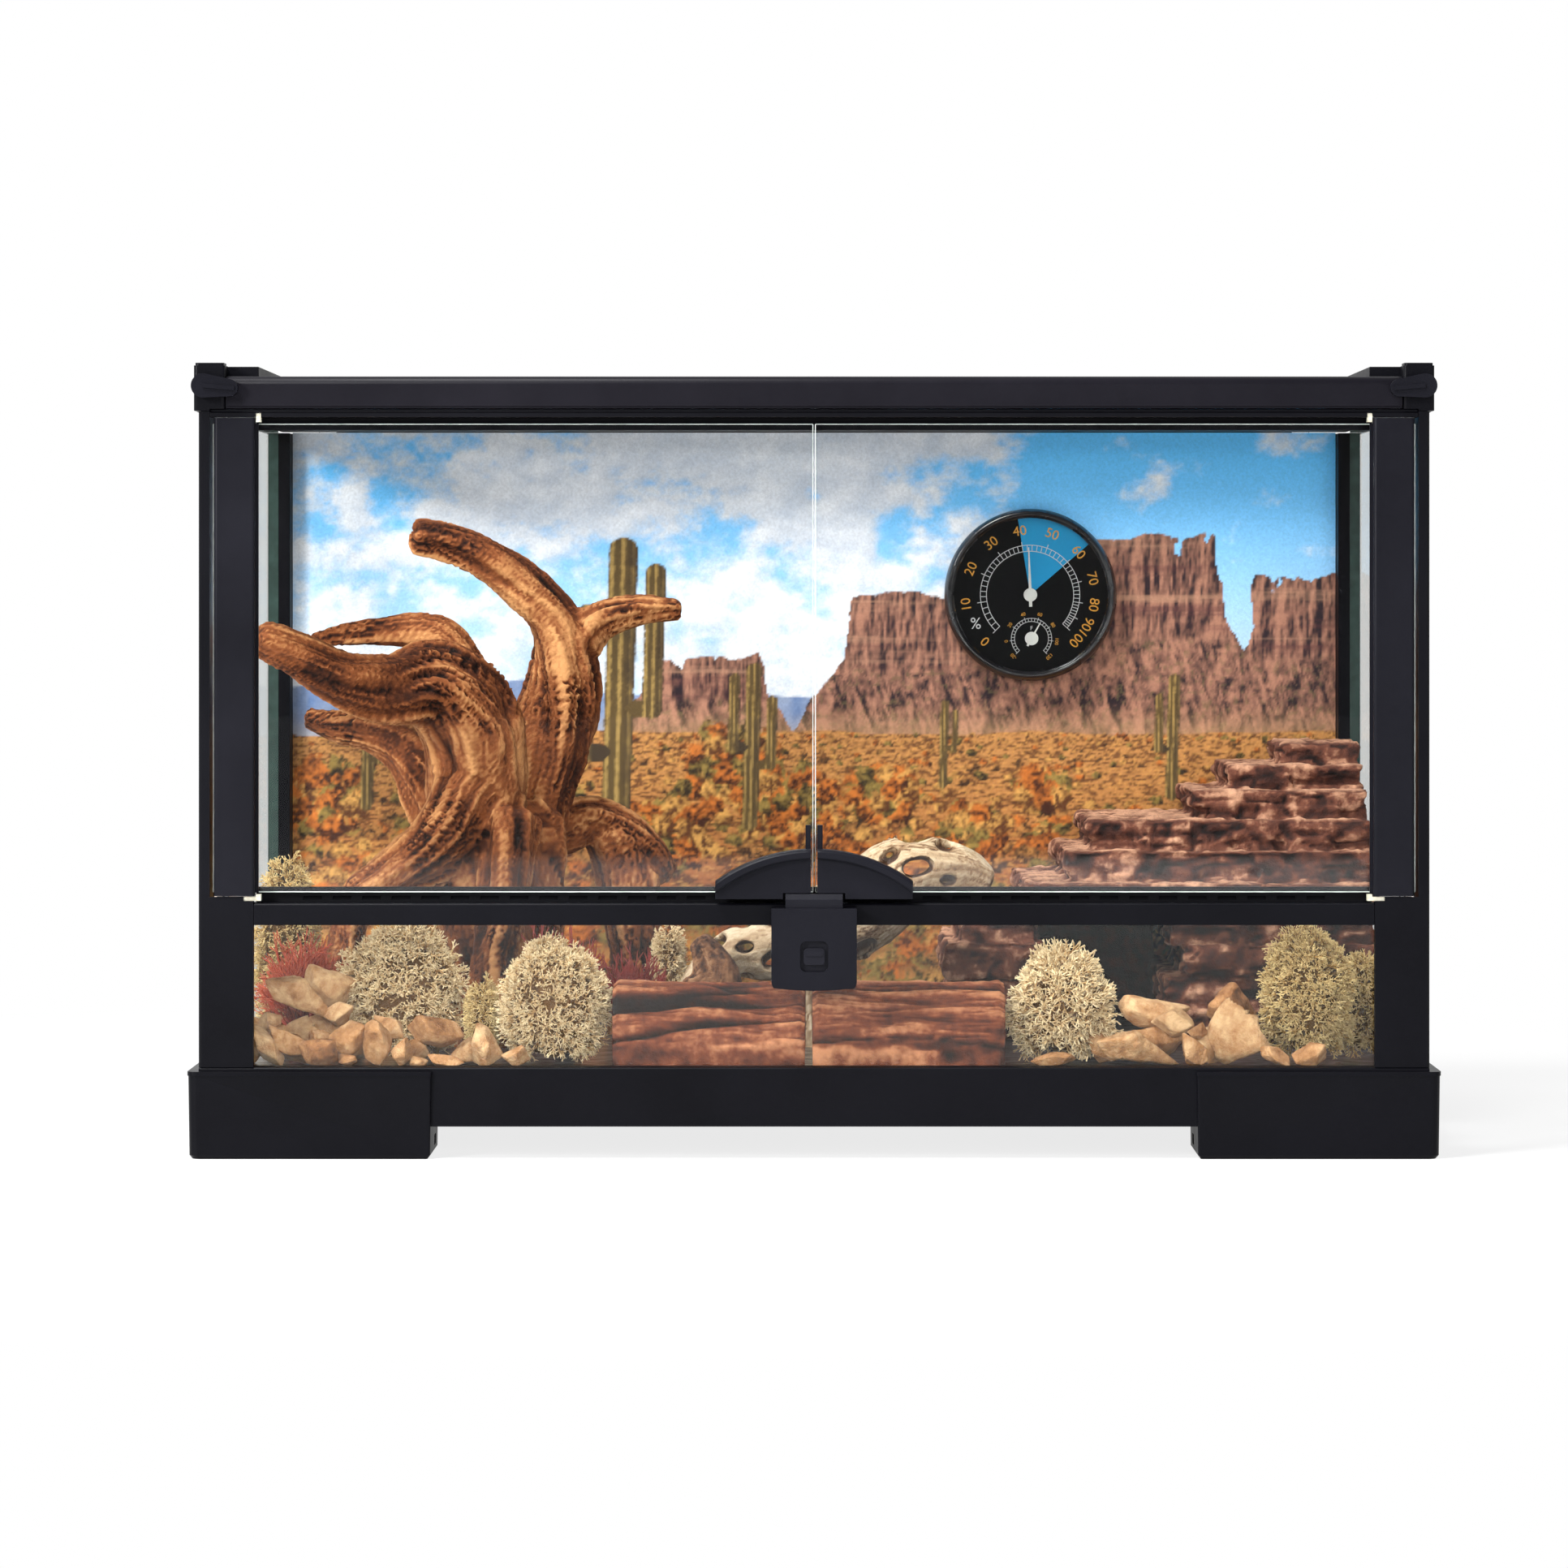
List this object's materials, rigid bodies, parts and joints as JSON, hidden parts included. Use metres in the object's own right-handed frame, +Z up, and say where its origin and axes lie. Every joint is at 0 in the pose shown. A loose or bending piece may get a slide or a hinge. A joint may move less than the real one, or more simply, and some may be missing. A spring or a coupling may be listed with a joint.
{
  "type": "reptile terrarium",
  "caption": "Front-opening glass terrarium in a black moulded frame with swinging doors, centre latch, lift-off screen lid, dial gauge and furnishings.",
  "frame": {"origin": "on the ground plane under the middle of the whole part's box", "axes": "+Z up, the doors face -Y, +X to the right seen from the front"},
  "size_m": [0.4656, 0.316, 0.2956],
  "materials": {
    "foot_plastic": "satin black, lightly textured",
    "frame_plastic": "satin black, moulded",
    "vent_plastic": "satin black, moulded",
    "tank_glass": "clear float glass with green edges",
    "door_glass": "clear float glass, ground edges",
    "backdrop_print": "printed sheet with a desert scene",
    "nylon": "off-white, slightly waxy",
    "door_trim": "satin black, moulded",
    "pin_steel": "bright drawn wire",
    "latch_plastic": "satin black, moulded",
    "latch_button": "satin black, moulded",
    "spring_steel": "bright spring wire",
    "lid_plastic": "satin black, moulded",
    "screen_steel": "black powder-coated mesh",
    "turn_latch_plastic": "satin black, moulded",
    "gauge_case_plastic": "glossy black",
    "gauge_dial_face": "printed black dial with a blue sector",
    "gauge_lens_clear": "clear moulded lens",
    "needle_white": "white paint",
    "needle_orange": "white hub with an orange blade",
    "driftwood": "weathered, grey in the cracks",
    "pale_wood": "bleached, worn smooth",
    "red_bark": "rough layered bark",
    "red_slate": "rough split layers",
    "pale_stone": "rough, dusty",
    "lichen": "dry, fibrous",
    "red_plant": "thin moulded twigs and leaves",
    "brown_bark": "rough split bark"
  },
  "bodies": {
    "tank": {"foot_front_left": "foot_plastic", "foot_front_right": "foot_plastic", "foot_rear_left": "foot_plastic", "foot_rear_right": "foot_plastic", "base_front_rail": "frame_plastic", "base_rear_rail": "frame_plastic", "base_left_rail": "frame_plastic", "base_right_rail": "frame_plastic", "floor_pane": "tank_glass", "front_left_post": "frame_plastic", "front_right_post": "frame_plastic", "rear_left_post": "frame_plastic", "rear_right_post": "frame_plastic", "mid_rail": "frame_plastic", "vent_strip": "vent_plastic", "header_rail": "frame_plastic", "rim_left_rail": "frame_plastic", "rim_right_rail": "frame_plastic", "rim_rear_rail": "frame_plastic", "corner_block_left": "frame_plastic", "corner_block_right": "frame_plastic", "left_side_pane": "tank_glass", "right_side_pane": "tank_glass", "back_pane": "tank_glass", "front_window": "tank_glass", "backdrop": "backdrop_print", "lower_bushings": "nylon", "upper_bushings": "nylon", "latch_housing": "latch_plastic", "latch_spring": "spring_steel", "turn_latch_pivots": "turn_latch_plastic", "gauge_case": "gauge_case_plastic", "gauge_dial": "gauge_dial_face", "gauge_lens": "gauge_lens_clear", "driftwood_root": "driftwood", "driftwood_prong": "driftwood", "pale_branch": "pale_wood", "bark_logs": "red_bark", "slate_ledge": "red_slate", "left_stones": "pale_stone", "right_stones": "pale_stone", "lichen_clumps": "lichen", "plants": "red_plant", "bark_shard": "brown_bark"},
    "left_door": {"left_door_pane": "door_glass", "left_door_stile": "door_trim", "left_door_pins": "pin_steel", "left_door_handle": "door_trim"},
    "right_door": {"right_door_pane": "door_glass", "right_door_stile": "door_trim", "right_door_pins": "pin_steel", "right_door_handle": "door_trim"},
    "latch_slide": {"latch_slide": "latch_button"},
    "lid": {"lid_frame": "lid_plastic", "lid_screen": "screen_steel"},
    "turn_latch_left": {"turn_latch_left": "turn_latch_plastic"},
    "turn_latch_right": {"turn_latch_right": "turn_latch_plastic"},
    "humidity_needle": {"humidity_needle": "needle_white"},
    "temperature_needle": {"temperature_needle": "needle_orange"}
  },
  "joints": [
    {"name": "left_door_hinge", "type": "hinge", "parent": "tank", "child": "left_door", "pos_m": [-0.2185, -0.1468, 0.097], "axis": [0, 0, -1], "range_deg": [0, 115]},
    {"name": "right_door_hinge", "type": "hinge", "parent": "tank", "child": "right_door", "pos_m": [0.2185, -0.1468, 0.097], "axis": [0, 0, 1], "range_deg": [0, 115]},
    {"name": "centre_latch", "type": "slide", "parent": "tank", "child": "latch_slide", "axis": [0, 0, -1], "range_m": [0, 0.0022], "stiffness_N_per_m": 200, "springref_m": -0.003, "deforming": ["latch_spring"]},
    {"name": "lid_lift", "type": "slide", "parent": "tank", "child": "lid", "axis": [0, 0, 1], "range_m": [0, 0.06]},
    {"name": "left_turn_latch", "type": "hinge", "parent": "tank", "child": "turn_latch_left", "pos_m": [-0.2264, -0.152, 0.287], "axis": [0, -1, 0], "range_deg": [0, 90]},
    {"name": "right_turn_latch", "type": "hinge", "parent": "tank", "child": "turn_latch_right", "pos_m": [0.2264, -0.152, 0.287], "axis": [0, 1, 0], "range_deg": [0, 90]},
    {"name": "humidity_pointer", "type": "hinge", "parent": "tank", "child": "humidity_needle", "pos_m": [0.0906, 0.141, 0.2099], "axis": [0, 1, 0], "range_deg": [-134, 133], "stiffness_Nm_per_rad": 0.004},
    {"name": "temperature_pointer", "type": "hinge", "parent": "tank", "child": "temperature_needle", "pos_m": [0.0912, 0.141, 0.1916], "axis": [0, 1, 0], "range_deg": [-164, 106], "stiffness_Nm_per_rad": 0.004}
  ]
}
